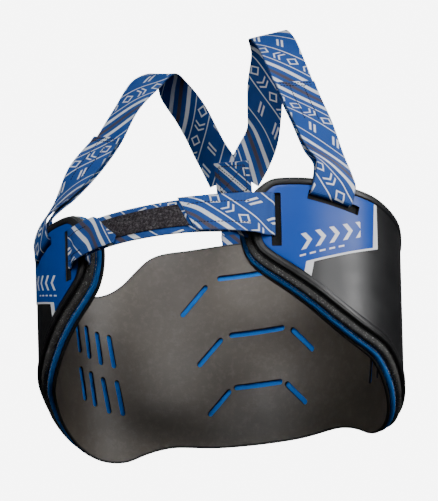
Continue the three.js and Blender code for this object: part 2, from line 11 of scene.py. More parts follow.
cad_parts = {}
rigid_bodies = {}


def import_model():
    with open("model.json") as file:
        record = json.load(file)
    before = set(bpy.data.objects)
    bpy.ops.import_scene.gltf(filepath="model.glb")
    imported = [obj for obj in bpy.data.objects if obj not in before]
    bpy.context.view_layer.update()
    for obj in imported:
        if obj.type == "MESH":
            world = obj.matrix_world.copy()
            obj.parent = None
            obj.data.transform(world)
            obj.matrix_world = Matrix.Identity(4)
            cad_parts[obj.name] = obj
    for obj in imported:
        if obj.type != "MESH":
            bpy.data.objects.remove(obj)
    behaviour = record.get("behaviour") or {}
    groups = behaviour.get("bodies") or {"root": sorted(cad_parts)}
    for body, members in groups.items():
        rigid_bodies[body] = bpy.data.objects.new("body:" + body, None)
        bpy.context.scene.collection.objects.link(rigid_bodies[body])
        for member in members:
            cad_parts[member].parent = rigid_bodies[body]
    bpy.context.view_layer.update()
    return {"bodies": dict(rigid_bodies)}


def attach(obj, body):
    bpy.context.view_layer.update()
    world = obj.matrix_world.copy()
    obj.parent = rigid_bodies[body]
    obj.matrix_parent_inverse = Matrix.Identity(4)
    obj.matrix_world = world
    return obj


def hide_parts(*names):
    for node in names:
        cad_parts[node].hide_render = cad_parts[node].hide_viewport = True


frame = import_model()
MM = 0.001
rng = random.Random(7)

# Sizes of the part in millimetres, the same as its source
HALF_WIDTH, HALF_DEPTH, BACK = 182.9, 120.3, 108.0
WALL_LEAN = 0.035 / 180
SHELL_WALL, RIM_WIDTH, RIM_RISE, GAP = 2.5, 6.4, 1.2, 0.3
FOAM_OUTER, FOAM_MIDDLE, LINER = 5.4, 4.6, 2.8
REACH_OUTER, REACH_MIDDLE, REACH_LINER, TOP_SHARE = 7.5, 11.0, 12.5, 0.25
WEB, WEB_THICK, BEND_ROOM = 40.0, 1.5, 0.3
SHOULDER_HEIGHT, SHOULDER_TILT, TAIL_LEAN = 278.0, 9.0, 20.0
PATCH_WIDTH, PATCH_THICK, PANEL_THICK = 26.0, 1.3, 0.4
SLOT_WIDTH, SLOT_LENGTH, SLOT_CORNER = 9.0, 50.0, 1.0
CUT_WIDTH = 5.4
# Strips along the edges that get a second look: grey cut foam on the outer pad, a darker blue painted as
# shade on the middle pad, black on the liner; the look changes BARE_MARGIN inside them
BARE_OUTER, SHADE_STRIP_MIDDLE, BARE_LINER, BARE_MARGIN = 5.4, 4.2, 1.8, 0.1

# Outline of the shell: degrees round the body, share of BACK
TOP_EDGE = [
    (0, 0.972), (12, 0.977), (24, 0.957), (34, 0.929), (39, 0.873), (44, 0.757),
    (50, 0.612), (57, 0.51), (65, 0.465), (74, 0.495), (84, 0.575), (96, 0.645),
    (108, 0.715), (118, 0.75), (130, 0.795), (141, 0.803), (146.5, 0.785), (150, 0.712),
    (152, 0.62),
]
FRONT_EDGE = [(152.7, 0.54), (152.7, 0.36)]
BOTTOM_EDGE = [
    (0, -0.875), (15, -0.87), (31, -0.845), (38, -0.872), (44, -0.917), (52, -0.985),
    (62, -0.98), (73, -0.895), (87, -0.73), (100, -0.56), (114, -0.443), (124, -0.312),
    (132, -0.175), (140, -0.035), (147, 0.09), (150.5, 0.175), (152, 0.26),
]
# Cuts in the liner: angle and height of one end, then of the other
LINER_CUTS = [
    (26.6, 0.335, 18.3, 0.59), (20.9, -0.17, 13.3, 0.05), (17.5, -0.655, 10.7, -0.46),
    (76.1, 0.178, 74.3, -0.06), (69.9, 0.165, 68.3, -0.104), (63.6, 0.12, 61.8, -0.15),
    (57.4, 0.1, 55.3, -0.172), (73.9, -0.243, 71.7, -0.515), (67.6, -0.276, 65.6, -0.56),
    (60.9, -0.32, 58.2, -0.615), (54.1, -0.34, 51.6, -0.63),
]
# Level cuts across the middle of the back: half their angle, height
MIDDLE_CUTS = [(13.1, 0.67), (9.3, 0.09), (8, -0.425)]
# Shoulder strap: side, back, up, lean, then where its face looks (side, back, up, twist)
SHOULDER = [
    (0.808, -0.546, 0.344, 0, 0.75, -0.6, 0, 0.13), (0.739, -0.433, 0.436, 0, 0.63, -0.68, 0.07, 0.17),
    (0.66, -0.323, 0.568, 0, 0.39, -0.77, 0.19, 0.29), (0.572, -0.194, 0.692, 0, 0.35, -0.79, 0.32, 0.24),
    (0.485, -0.1, 0.834, 0, 0.31, -0.78, 0.47, 0.17), (0.389, 0.022, 0.962, 0, -0.11, -0.52, 0.79, 0.18),
    (0.315, 0.137, 1.013, 0, -0.3, -0.01, 0.85, 0.04), (0.298, 0.263, 0.963, 0, -0.08, 0.54, 0.69, 0.06),
    (0.233, 0.389, 0.877, 0.05, 0, 0.73, 0.53, 0.11), (0.194, 0.496, 0.802, 0.15, 0, 0.78, 0.4, 0.15),
    (0.158, 0.59, 0.738, 0.3, 0.05, 0.84, 0.38, 0.17), (0.105, 0.7, 0.685, 0.55, 0, 0.88, 0.47, 0),
    (0.05, 0.77, 0.63, 0.85, 0, 0.88, 0.47, 0),
]
# Row that a shoulder strap's folded end reaches, how far past it, and the shift along its slot
SEAM_ROW, SEAM_LEFT, SEAM_RIGHT, SHOULDER_SHIFT = 3, 0.45, 0.12, 3.5
# Back strap: back, up, lean
TAIL = [(0.965, 0.44, 1.08), (0.905, 0.505, 1), (0.835, 0.57, 0.92), (0.77, 0.63, 0.83),
        (0.698, 0.687, 0.75)]
# Slots: angle and height, and the slant of the shoulder slots
SIDE_SLOT = (145.2, 0.435 * BACK)
SHOULDER_SLOT = (125.6, 0.602 * BACK)
SLOT_SLANT = 13.5
BACK_SLOT = 0.965 * BACK - 17
# Front strap: its route, its folded end, its loose end and the loop band on it
FRONT_RISE, FRONT_SAG, FRONT_BULGE, FRONT_BEND, FRONT_TILT = 4.6, 0.2, 138.0, 2.2, 22.0
FOLD_FROM, FOLD_SKEW = 0.327, -10.0
TAB_FROM, TAB_TO, TAB_TIP = -0.634, -0.307, -0.55
PATCH_FROM, PATCH_TO, PATCH_STEPS = -0.538, 0.298, 6
# Stations along the front strap, as shares of the way from the middle to a side slot
FOLD_STATIONS = (FOLD_FROM, 0.46, 0.595, 0.73, 0.845)
MIDDLE_STATIONS = (0.67, 0.56, 0.385, 0.19, 0, -0.19, -0.385, -0.56, -0.67)
TAB_STATIONS = (-0.845, -0.73, TAB_FROM)
# Distances from a slot's middle line where the webbing lies on the wall, outside and inside it
SHOULDER_OUTSIDE, SHOULDER_INSIDE = (20, 10), (9, 18)
TAIL_INSIDE, TAIL_OUTSIDE = (15, 8), (10, 20)
FRONT_OUTSIDE, FRONT_INSIDE = 8, (8, 16, 25)
# Where the shoulder straps lie on each other at the back: first row, rows of change, layers
STACK_FROM, STACK_ROWS, STACK_LEFT, STACK_RIGHT = 8, 2, 3.4, 2.2
# Printed panel: degrees, share of BACK
PANEL_REAR, PANEL_CORNER, PANEL_TAIL = (106.3, 0.25), (133.4, 0.074), (137, -0.37)
PANEL = [PANEL_REAR, PANEL_CORNER, PANEL_TAIL, (158, -0.37), (158, 1.02), (106.3, 1.02)]

# Offsets of each layer's two faces from the shell's outer face
SHELL_IN = -SHELL_WALL
F1_OUT = SHELL_IN - GAP
F1_IN = F1_OUT - FOAM_OUTER
F2_OUT = F1_IN - GAP
F2_IN = F2_OUT - FOAM_MIDDLE
LINER_OUT = F2_IN - GAP
LINER_IN = LINER_OUT - LINER
WEB_OUT = RIM_RISE + GAP + BEND_ROOM + WEB_THICK / 2
WEB_IN = SHELL_IN - GAP - BEND_ROOM - WEB_THICK / 2
PITCH = WEB_THICK + GAP + 0.05
SPREAD_SEAM, SPREAD_SHELL = 1.5, 2.6

# Steps of the meshes in millimetres
OUTLINE_STEPS, EDGE_STEP, RING_GAP, HOLE_GAP, HOLE_CLEAR = 230, 4.0, 0.6, 0.2, 1.5
SHEET_STEP, PANEL_STEP = (5.0), 4.0
# Webbing: rows between two sections, columns across, and the columns where its edges thin out
ROWS_PER_SECTION, COLUMNS, FLAT_SHARE = 7, 22, 0.9
THIN_AT, THIN_SHARE = (0.95, 0.985, 1), (1, 0.82, 0.4)
# Stitches: (share of the length, height over the webbing, share of the radius)
STITCH_PITCH, STITCH_GAP, THREAD_RADIUS, THREAD_SIDES = 3.0, 0.6, 0.5, 6
STITCH = [(0, -0.25, 0.5), (0.2, 0.05, 1), (0.8, 0.05, 1), (1, -0.25, 0.5)]
FUZZ_PITCH, FUZZ_RADIUS, FUZZ_SIDES = 1.7, 0.22, 4
# Seams in millimetres: two rows across the shoulder straps' ends and two lines along them,
# lines along the front strap's fold and its loose end, and the crossed box at the back
ACROSS_HALF, ACROSS_AT, SEAM_LINES, SEAM_RUN = 17, (2.5, 6), (-7, 7), (6, 62)
FOLD_LINES, FOLD_RUN = (-11, 11), (3, 58)
TAB_LINES, TAB_RUN = (-12, 12), (50, 86)
BOX_RUN, BOX_HALF = (31, 4), 15
# Place along a strap where a seam's side is found
LOOK_AT, TAB_LOOK_AT = 20, 60

# Print of the webbing in millimetres: stripes, a row of figures and a row of bars
PRINT_PERIOD, PRINT_SOFT, FIGURE_SOFT = 78.0, 0.2, 0.25
WIDE_STRIPES, GREY_STRIPE = [(3.0, 7.4), (21.0, 25.4)], (12.0, 16.2)
THIN_STRIPES, THIN_WIDTH = [31.0, 47.6, 70.6], 1.1
FIGURE_ROW, FIGURE_STEP, FIGURE_REACH = 39.8, 34.0, 5.4
DIAMOND_AT, DIAMOND_LINE, ARROWS = 8.5, (3.7, 5.6), [(20.0, 22.0), (25.5, 27.5)]
BAR_ROW, BAR_STEP, BAR_REACH, BARS = 59.6, 26.0, 5.2, [(3.0, 5.4), (8.0, 10.4)]
RIB_PITCH, YARN_PITCH = 1.15, 1.6
# Print of the panels in millimetres from its rear corner
CHEVRON_HEIGHT, CHEVRON_STEP, CHEVRON_LINE, CHEVRON_RUN = 21.0, 13.0, (2.0, 6.4), (20.0, 79.0)
DASH_STEP, DASH_LINE, DASH_BAND, DASH_RUN = 9.0, (1.0, 6.4), (7.6, 9.2), (36.0, 80.9)

# Camera at the photograph's angle, from below
RIGHT = Vector((0.913069, 0.407066, -0.024544))
UP = Vector((0.154135, -0.288759, 0.944913))
FORWARD = Vector((-0.377555, 0.866554, 0.326400))
CAMERA_PLACE, CAMERA_LENS = (0.61012, -1.38759, -0.45829), 118.69
# White paper round the object
GLOW, FLOOR_HEIGHT, BACKDROP_AWAY, BACKDROP_SIZE = 7.0, -1.6, 4.4, (2.6, 2.9, 1, 1)
# Spots: name, azimuth, elevation, power
SPOT_DISTANCE, SPOT_CONE, SPOT_SIZE, SPOT_TARGET = 1.6, 14, 0.25, (-0.03, 0.1, 0.05)
SPOTS = [
    ("spot_right_low", -25, 12, 75), ("spot_right_high", -25, 32, 62), ("spot_front", 12, 32, 104),
    ("spot_left_high", 28, 32, 68), ("spot_left_low", 62, 12, 88),
]
# Area lamps: name, azimuth, elevation, distance, width and height, power
AREA_TARGET = (0, 0, 0.03)
AREAS = [
    ("strip_left", 80, 15, 1.5, (0.3, 1.2), 20), ("fill", 10, -12, 2.6, (2.0, 1.2), 5),
    ("back_high", 178, 40, 1.8, (0.8, 0.8), 24), ("back_strip", -165, 8, 1.8, (0.3, 1.2), 16),
]


# The wall: a leaning half ellipse on each side of the middle of the back
def _arc_table():
    t = np.linspace(0, math.pi, 721)
    step = np.hypot(np.diff(HALF_WIDTH * np.sin(t)), np.diff(HALF_DEPTH * np.cos(t)))
    return np.degrees(t), np.concatenate([[0], np.cumsum(step)])


ANGLES, ARCS = _arc_table()


def arc_at(angle):
    """Arc length round the wall from the middle of the back, in millimetres."""
    return np.sign(angle) * np.interp(np.abs(angle), ANGLES, ARCS)


def wall(arc, height, out):
    """Points at an arc length and a height, out from the shell's outer face."""
    arc, height, out = np.broadcast_arrays(*(np.asarray(v, float) for v in (arc, height, out)))
    a = np.sign(arc) * np.radians(np.interp(np.abs(arc), ARCS, ANGLES))
    k = 1 + WALL_LEAN * height
    nx, ny = np.sin(a) / HALF_WIDTH, np.cos(a) / HALF_DEPTH
    n = np.hypot(nx, ny)
    return np.stack([HALF_WIDTH * k * np.sin(a) + out * nx / n,
                     HALF_DEPTH * k * np.cos(a) + out * ny / n, height], -1)


def spline(points, ts):
    """Centripetal curve through the points, at shares ts of its rows."""
    p = np.asarray(points, float)
    last = len(p) - 1
    full = np.concatenate([[2 * p[0] - p[1]], p, [2 * p[-1] - p[-2]]])
    out = []
    for t in ts:
        x = min(max(t, 0), 1) * last
        i = min(int(x), last - 1)
        w = x - i
        q = full[i:i + 4]
        d = [max(np.sum((q[j + 1] - q[j]) ** 2) ** 0.25, 1e-4) for j in range(3)]
        m1 = ((q[1] - q[0]) / d[0] - (q[2] - q[0]) / (d[0] + d[1]) + (q[2] - q[1]) / d[1]) * d[1]
        m2 = ((q[2] - q[1]) / d[1] - (q[3] - q[1]) / (d[1] + d[2]) + (q[3] - q[2]) / d[2]) * d[1]
        c2 = -3 * q[1] + 3 * q[2] - 2 * m1 - m2
        c3 = 2 * q[1] - 2 * q[2] + m1 + m2
        out.append(q[1] + m1 * w + c2 * w * w + c3 * w ** 3)
    return np.array(out)


def outline(reach):
    """Closed loop of (arc, height) points round the whole layer, which reaches past the shell."""
    rows = TOP_EDGE + FRONT_EDGE + BOTTOM_EDGE[::-1]
    pts = [(arc_at(a), h * BACK) for a, h in rows]
    shares = np.linspace(0, 1, OUTLINE_STEPS + 1)
    line = spline(pts, shares)
    ahead = np.roll(line, -1, 0)
    ahead[-1] = line[-1]
    back = np.roll(line, 1, 0)
    back[0] = line[0]
    along = ahead - back
    along /= np.linalg.norm(along, axis=1)[:, None]
    # less reach along the top edge, and all of it from the front edge on
    w = np.clip((shares * (len(rows) - 1) - (len(TOP_EDGE) - 3)) / 4, 0, 1)
    w = w * w * (3 - 2 * w)
    out = reach * (TOP_SHARE + (1 - TOP_SHARE) * w)
    half = np.stack([line[:, 0] - along[:, 1] * out, line[:, 1] + along[:, 0] * out], -1)
    other = half[1:-1][::-1] * np.array([-1, 1])
    return np.concatenate([half, other])


def shrink(loop, inset):
    """The loop moved inwards by inset. The loop runs clockwise in arc and height."""
    ahead, back = np.roll(loop, -1, 0), np.roll(loop, 1, 0)
    along = ahead - back
    along /= np.maximum(np.linalg.norm(along, axis=1), 1e-9)[:, None]
    return loop + np.stack([along[:, 1], -along[:, 0]], -1) * inset


def thin_out(loop, gap):
    """Drops points that lie closer than gap to the last kept one."""
    kept = [loop[0]]
    for p in loop[1:]:
        if np.hypot(*(p - kept[-1])) > gap:
            kept.append(p)
    if np.hypot(*(kept[-1] - kept[0])) < gap:
        kept.pop()
    return np.array(kept)


def inside(points, loop):
    """Which of the points lie inside the loop."""
    x, y = points[:, 0], points[:, 1]
    hit = np.zeros(len(points), bool)
    for (x1, y1), (x2, y2) in zip(loop, np.roll(loop, -1, 0)):
        if y1 == y2:
            continue
        cross = (y1 > y) != (y2 > y)
        hit ^= cross & (x < (x2 - x1) * (y - y1) / (y2 - y1) + x1)
    return hit


def reach_to(points, loop):
    """Distance from each point to the loop."""
    best = np.full(len(points), 1e9)
    for a, b in zip(loop, np.roll(loop, -1, 0)):
        d = b - a
        t = np.clip(((points - a) @ d) / max(d @ d, 1e-12), 0, 1)
        best = np.minimum(best, np.linalg.norm(points - a - t[:, None] * d, axis=1))
    return best


def new_object(name, verts, faces, uv=None, smooth=40):
    """Object from points in millimetres; uv gives each point its place on the print."""
    mesh = bpy.data.meshes.new(name)
    mesh.from_pydata([tuple(v) for v in np.asarray(verts) * MM], [], [tuple(f) for f in faces])
    if uv is not None:
        layer = mesh.uv_layers.new(name="UVMap")
        index = np.empty(len(mesh.loops), np.int32)
        mesh.loops.foreach_get("vertex_index", index)
        layer.data.foreach_set("uv", (np.asarray(uv)[index] * MM).astype(np.float32).ravel())
    mesh.shade_smooth()
    mesh.set_sharp_from_angle(angle=math.radians(smooth))
    mesh.update()
    obj = bpy.data.objects.new(name, mesh)
    bpy.context.scene.collection.objects.link(obj)
    return obj


def flat_mesh(loop, holes, insets, hole_round, spacing, region):
    """Points and triangles of a sheet laid flat, with lines along its edge at every inset."""
    points, edges = [], []

    def add_loop(pts):
        start = len(points)
        points.extend(pts)
        edges.extend((start + i, start + (i + 1) % len(pts)) for i in range(len(pts)))

    for inset in insets:
        ring = loop if inset == 0 else thin_out(shrink(loop, inset), RING_GAP)
        add_loop(ring)
    for hole in holes:
        add_loop(hole)
        if hole_round:
            add_loop(thin_out(shrink(hole, hole_round), HOLE_GAP))
    if region is not None:
        add_loop(dense(region))
    low, high = loop.min(0), loop.max(0)
    gx = np.arange(low[0], high[0], spacing)
    gy = np.arange(low[1], high[1], spacing)
    grid = np.array([(x + (j % 2) * spacing / 2, y) for j, y in enumerate(gy) for x in gx])
    grid = grid[inside(grid, loop)]
    grid = grid[reach_to(grid, loop) > insets[-1] + spacing * 0.4]
    for hole in holes:
        grid = grid[reach_to(grid, hole) > HOLE_CLEAR]
    points.extend(grid)
    coords, _, tris, _, _, _ = delaunay_2d_cdt([Vector(p) for p in points], edges, [], 0, 1e-4)
    flat = np.array([(c.x, c.y) for c in coords])
    tris = np.array(tris)
    centre = flat[tris].mean(1)
    good = inside(centre, loop)
    for hole in holes:
        good &= ~inside(centre, hole)
    if region is not None:
        good &= inside(centre, region)
    tris = tris[good]
    used = np.unique(tris)
    remap = np.full(len(flat), -1)
    remap[used] = np.arange(len(used))
    return flat[used], remap[tris]


def plate(name, loop, holes, rows, hole_round, spacing, region=None, cut=0.0):
    """A sheet on the wall. rows: (inset, outer face, inner face) from its edge inwards.
    Where a region is given, only what lies in it is kept. Side walls and what lies nearer to
    the edge than cut get the second material."""
    insets = [r[0] for r in rows]
    flat, tris = flat_mesh(loop, holes, insets, hole_round, spacing, region)
    depth = reach_to(flat, loop)
    outer = np.interp(depth, insets, [r[1] for r in rows])
    inner = np.interp(depth, insets, [r[2] for r in rows])
    for hole in holes:
        if hole_round:
            edge = np.clip(1 - reach_to(flat, hole) / hole_round, 0, 1) * hole_round
            outer -= edge
            inner += edge
    n = len(flat)
    area = np.cross(flat[tris[:, 1]] - flat[tris[:, 0]], flat[tris[:, 2]] - flat[tris[:, 0]])
    tris[area > 0] = tris[area > 0][:, ::-1]
    faces = [tuple(t) for t in tris] + [tuple(n + t[::-1]) for t in tris]
    # a dict keeps the sides in their order
    sides = {side: True for t in tris for side in ((t[0], t[1]), (t[1], t[2]), (t[2], t[0]))}
    faces.extend((b, a, n + a, n + b) for a, b in sides if (b, a) not in sides)
    verts = np.concatenate([wall(flat[:, 0], flat[:, 1], outer), wall(flat[:, 0], flat[:, 1], inner)])
    obj = new_object(name, verts, faces, np.concatenate([flat, flat]))
    near = depth[tris].mean(1) < cut
    second = np.ones(len(faces), np.int32)
    second[:2 * len(tris)] = np.concatenate([near, near])
    obj["second"] = [int(v) for v in second]
    return obj


def round_slot(a, b, width, steps=6):
    """Loop round a straight cut with round ends, clockwise, as plate's holes are."""
    a, b = np.array(a, float), np.array(b, float)
    along = (b - a) / np.linalg.norm(b - a)
    side = np.array([-along[1], along[0]])
    loop = []
    for centre, sign in ((b, 1), (a, -1)):
        for i in range(steps + 1):
            t = -math.pi / 2 + math.pi * i / steps
            loop.append(centre + sign * (along * math.cos(t) + side * math.sin(t)) * width / 2)
    return dense(np.array(loop))


def dense(loop):
    """The loop with more points on its long sides."""
    out = []
    for a, b in zip(loop, np.roll(loop, -1, 0)):
        n = max(1, int(np.linalg.norm(b - a) / EDGE_STEP))
        out.extend(a + (b - a) * i / n for i in range(n))
    return np.array(out)


def box_slot(middle, along):
    """Loop round a strap slot with rounded corners."""
    along = np.array(along)
    side = np.array([-along[1], along[0]])
    half_length, half_width = SLOT_LENGTH / 2 - SLOT_CORNER, SLOT_WIDTH / 2 - SLOT_CORNER
    out = []
    for u, v in ((1, -1), (1, 1), (-1, 1), (-1, -1)):
        c = np.array(middle) + along * u * half_length + side * v * half_width
        start = math.atan2(v, u) - math.pi / 4
        for i in range(4):
            t = start + math.pi / 2 * i / 3
            out.append(c + (along * math.cos(t) + side * math.sin(t)) * SLOT_CORNER)
    return dense(np.array(out))


def slot_frames():
    """Middle and direction of the shell's slots: shoulders, sides and back."""
    t = math.radians(SLOT_SLANT)
    return [
        ((arc_at(SHOULDER_SLOT[0]), SHOULDER_SLOT[1]), (math.cos(t), math.sin(t))),
        ((-arc_at(SHOULDER_SLOT[0]), SHOULDER_SLOT[1]), (math.cos(t), -math.sin(t))),
        ((arc_at(SIDE_SLOT[0]), SIDE_SLOT[1]), (0.0, 1.0)),
        ((-arc_at(SIDE_SLOT[0]), SIDE_SLOT[1]), (0.0, 1.0)),
        ((-TAIL_LEAN, BACK_SLOT), (1.0, 0.0)),
    ]


SLOTS = slot_frames()
HOLES = [box_slot(m, a) for m, a in SLOTS]


# Webbing: sections are rows of four points across its middle surface
ACROSS = np.array([-1, -1 / 3, 1 / 3, 1])


def unit(v):
    v = np.asarray(v, float)
    return v / np.linalg.norm(v)


def wall_section(slot, lift, out, flip=1):
    """Section that lies on the wall beside a slot, lift above its middle line."""
    middle, along = np.array(slot[0]), np.array(slot[1])
    side = np.array([-along[1], along[0]])
    p = middle + np.outer(ACROSS * flip * WEB / 2, along) + side * lift
    return wall(p[:, 0], p[:, 1], out)


def shifted(slot, distance):
    """The slot's frame moved along its length."""
    return (np.array(slot[0]) + np.array(slot[1]) * distance, slot[1])


def slot_turn(slot, direction, flip):
    """Sections that bring the webbing through a slot, round its edge."""
    radius, middle = (WEB_OUT - WEB_IN) / 2, (WEB_OUT + WEB_IN) / 2
    edge = SLOT_WIDTH / 2 + 0.35
    rows = []
    for degrees in (-60, -20, 20, 60):
        a = math.radians(degrees)
        rows.append(wall_section(slot, direction * (edge - radius * math.cos(a)),
                                 middle + radius * math.sin(a), flip))
    return rows


def free_section(middle, width, along, offset=0.0, skew=0.0, low=-1.0, high=1.0):
    """Section in the open, across the direction along."""
    w = unit(width - np.dot(width, along) * along)
    n = unit(np.cross(w, along))
    share = low + (ACROSS + 1) / 2 * (high - low)
    return middle + np.outer(share * WEB / 2, w) + n * offset + np.outer(skew * share, along)


def directions(points):
    """Unit direction of the path at each point."""
    return [unit(points[min(i + 1, len(points) - 1)] - points[max(i - 1, 0)])
            for i in range(len(points))]


def shoulder_sections(side):
    slot = shifted(SLOTS[0 if side > 0 else 1], side * SHOULDER_SHIFT)
    pts = [np.array([side * r[0] * HALF_WIDTH - r[3] * TAIL_LEAN, r[1] * HALF_DEPTH,
                     r[2] * SHOULDER_HEIGHT + side * SHOULDER_TILT * r[2] ** 3 * (1 - r[3])])
           for r in SHOULDER]
    along = directions(pts)
    width = [np.cross(along[i], (side * r[4] + r[7], r[5], r[6])) for i, r in enumerate(SHOULDER)]

    def free(i, offset):
        return free_section(pts[i], width[i], along[i], offset)

    def stack(i):
        layers = STACK_LEFT if side > 0 else STACK_RIGHT
        return min(max((i - STACK_FROM) / STACK_ROWS, 0), 1) * layers * PITCH

    def folded(i):
        return free(i, PITCH * (SPREAD_SHELL + (SPREAD_SEAM - SPREAD_SHELL) * i / (SEAM_ROW + 1)))

    share = SEAM_LEFT if side > 0 else SEAM_RIGHT
    end = folded(SEAM_ROW) * (1 - share) + folded(SEAM_ROW + 1) * share
    return ([end] + [folded(i) for i in range(SEAM_ROW, -1, -1)]
            + [wall_section(slot, d, WEB_OUT, -1) for d in SHOULDER_OUTSIDE]
            + slot_turn(slot, 1, -1)[::-1]
            + [wall_section(slot, d, WEB_IN, -1) for d in SHOULDER_INSIDE]
            + [free(i, stack(i)) for i in range(len(SHOULDER))])


def tail_sections():
    slot = SLOTS[4]
    pts = [np.array([-r[2] * TAIL_LEAN, r[0] * HALF_DEPTH, r[1] * SHOULDER_HEIGHT]) for r in TAIL]
    along = directions(pts)
    width = np.array([1, 0, -0.1])
    return ([free_section(pts[0], width, along[0], PITCH)]
            + [wall_section(slot, d, WEB_IN) for d in TAIL_INSIDE]
            + slot_turn(slot, 1, 1)
            + [wall_section(slot, d, WEB_OUT) for d in TAIL_OUTSIDE]
            + [free_section(p, width, a) for p, a in zip(pts, along)])


SLOT_POINT = wall(arc_at(SIDE_SLOT[0]), SIDE_SLOT[1], 0)


def front_line(x):
    """Point of the front strap's middle line at x."""
    share = abs(x / SLOT_POINT[0]) ** FRONT_BEND
    y = -FRONT_BULGE + (FRONT_BULGE + SLOT_POINT[1]) * share
    return np.array([x, y, SIDE_SLOT[1] + FRONT_RISE - FRONT_SAG * max(0, 1 - share)])


def front_section(station, forward, low=-1.0, high=1.0, skew=0.0):
    """Section of the front strap; low and high are the edges' shares of its half width."""
    x = station * SLOT_POINT[0]
    along = unit(front_line(x - 1) - front_line(x + 1))
    tilt = math.radians(FRONT_TILT * (1 - min(1, abs(station)) ** 3))
    up = np.array([0, math.sin(tilt), math.cos(tilt)])
    return free_section(front_line(x), up, along, forward, -skew, low, high)


TAB_FORWARD = WEB_THICK + GAP * 2 + PATCH_THICK


def front_sections():
    left, right = shifted(SLOTS[2], FRONT_RISE), shifted(SLOTS[3], FRONT_RISE)
    fold = [front_section(s, SPREAD_SEAM * PITCH, skew=FOLD_SKEW if i == 0 else 0)
            for i, s in enumerate(FOLD_STATIONS)]
    middle = [front_section(s, 0) for s in MIDDLE_STATIONS]
    tab = [front_section(s, TAB_FORWARD) for s in TAB_STATIONS]
    halfway = front_section((TAB_FROM + TAB_TO) / 2, TAB_FORWARD, high=(1 + TAB_TIP) / 2)
    tip = front_section(TAB_TO, TAB_FORWARD, high=TAB_TIP)
    return (fold + [wall_section(left, -FRONT_OUTSIDE, WEB_OUT)] + slot_turn(left, -1, 1)[::-1]
            + [wall_section(left, -d, WEB_IN) for d in FRONT_INSIDE] + middle
            + [wall_section(right, d, WEB_IN) for d in FRONT_INSIDE[::-1]] + slot_turn(right, 1, 1)
            + [wall_section(right, FRONT_OUTSIDE, WEB_OUT)] + tab + [halfway, tip])


def patch_sections():
    forward = (WEB_THICK + PATCH_THICK) / 2 + GAP
    share = PATCH_WIDTH / WEB
    return [front_section(PATCH_TO + (PATCH_FROM - PATCH_TO) * i / PATCH_STEPS, forward, -share,
                          share, FOLD_SKEW if i == 0 else 0) for i in range(PATCH_STEPS + 1)]


class Ribbon:
    """A band of webbing along its sections, and places on it by (across, along, side)."""

    def __init__(self, sections, thick):
        sections = np.array(sections)
        ts = np.linspace(0, 1, (len(sections) - 1) * ROWS_PER_SECTION + 1)
        tracks = np.array([spline(sections[:, k], ts) for k in range(4)])
        edge = np.array(THIN_AT)
        self.us = np.concatenate([-edge[::-1], np.linspace(-FLAT_SHARE, FLAT_SHARE, COLUMNS), edge])
        self.thick = thick
        x = (self.us + 1) / 2 * 3
        i = np.minimum(x.astype(int), 2)
        w = (x - i)[:, None, None]
        self.mid = tracks[i] * (1 - w) + tracks[i + 1] * w
        tangent = np.gradient(self.mid, axis=1)
        wide = np.gradient(self.mid, axis=0)
        normal = np.cross(wide, tangent)
        self.normal = normal / np.linalg.norm(normal, axis=2)[:, :, None]
        centre = tracks[1:3].mean(0)
        step = np.linalg.norm(np.diff(centre, axis=0), axis=1)
        self.along = np.concatenate([[0], np.cumsum(step)])
        self.width = np.linalg.norm(self.mid[-1] - self.mid[0], axis=1)
        self.length = self.along[-1]

    def build(self, name):
        half = self.thick / 2 * np.interp(np.abs(self.us), THIN_AT, THIN_SHARE)
        shift = self.normal * half[:, None, None]
        front, back = self.mid + shift, self.mid - shift
        rings = np.concatenate([front, back[::-1]], 0)
        m, n = rings.shape[:2]
        verts = rings.transpose(1, 0, 2).reshape(-1, 3)
        across = self.us[:, None] * self.width[None, :] / 2
        uv_u = np.concatenate([across, -across[::-1]], 0).T.reshape(-1)
        uv_v = np.repeat(self.along, m)
        faces = []
        for r in range(n - 1):
            for i in range(m):
                j = (i + 1) % m
                faces.append((r * m + i, r * m + j, (r + 1) * m + j, (r + 1) * m + i))
        faces.append(tuple(range(m))[::-1])
        faces.append(tuple((n - 1) * m + i for i in range(m)))
        obj = new_object(name, verts, faces, np.stack([uv_u, uv_v], -1), 50)
        # the print differs from face to face, so the edges between them keep the border's colour
        layer = obj.data.uv_layers.active.data
        uv = np.empty(2 * len(layer), np.float32)
        layer.foreach_get("uv", uv)
        quads = uv[:8 * m * (n - 1)].reshape(n - 1, m, 4, 2)
        for i in (len(self.us) - 1, m - 1):
            quads[:, i, :, 0] = self.width.max() / 2 * MM
        layer.foreach_set("uv", uv)
        return obj

    def at(self, u, v, side=1, lift=0.0):
        """Place and outward direction at u mm across and v mm along."""
        x = np.interp(v, self.along, np.arange(len(self.along)))
        i = min(int(x), len(self.along) - 2)
        w = x - i
        share = u / (np.interp(v, self.along, self.width) / 2)
        y = np.interp(share, self.us, np.arange(len(self.us)))
        j = min(int(y), len(self.us) - 2)
        z = y - j

        def mix(grid):
            a = grid[j, i] * (1 - w) + grid[j, i + 1] * w
            b = grid[j + 1, i] * (1 - w) + grid[j + 1, i + 1] * w
            return a * (1 - z) + b * z

        n = unit(mix(self.normal)) * side
        return mix(self.mid) + n * (self.thick / 2 + lift), n


def add_tube(faces, base, sides, rings):
    """Faces of a closed tube whose points start at base, ring after ring."""
    for k in range(rings - 1):
        for s in range(sides):
            s2 = (s + 1) % sides
            low, high = base + k * sides, base + (k + 1) * sides
            faces.append((low + s, low + s2, high + s2, high + s))
    faces.append(tuple(base + s for s in range(sides))[::-1])
    faces.append(tuple(base + (rings - 1) * sides + s for s in range(sides)))


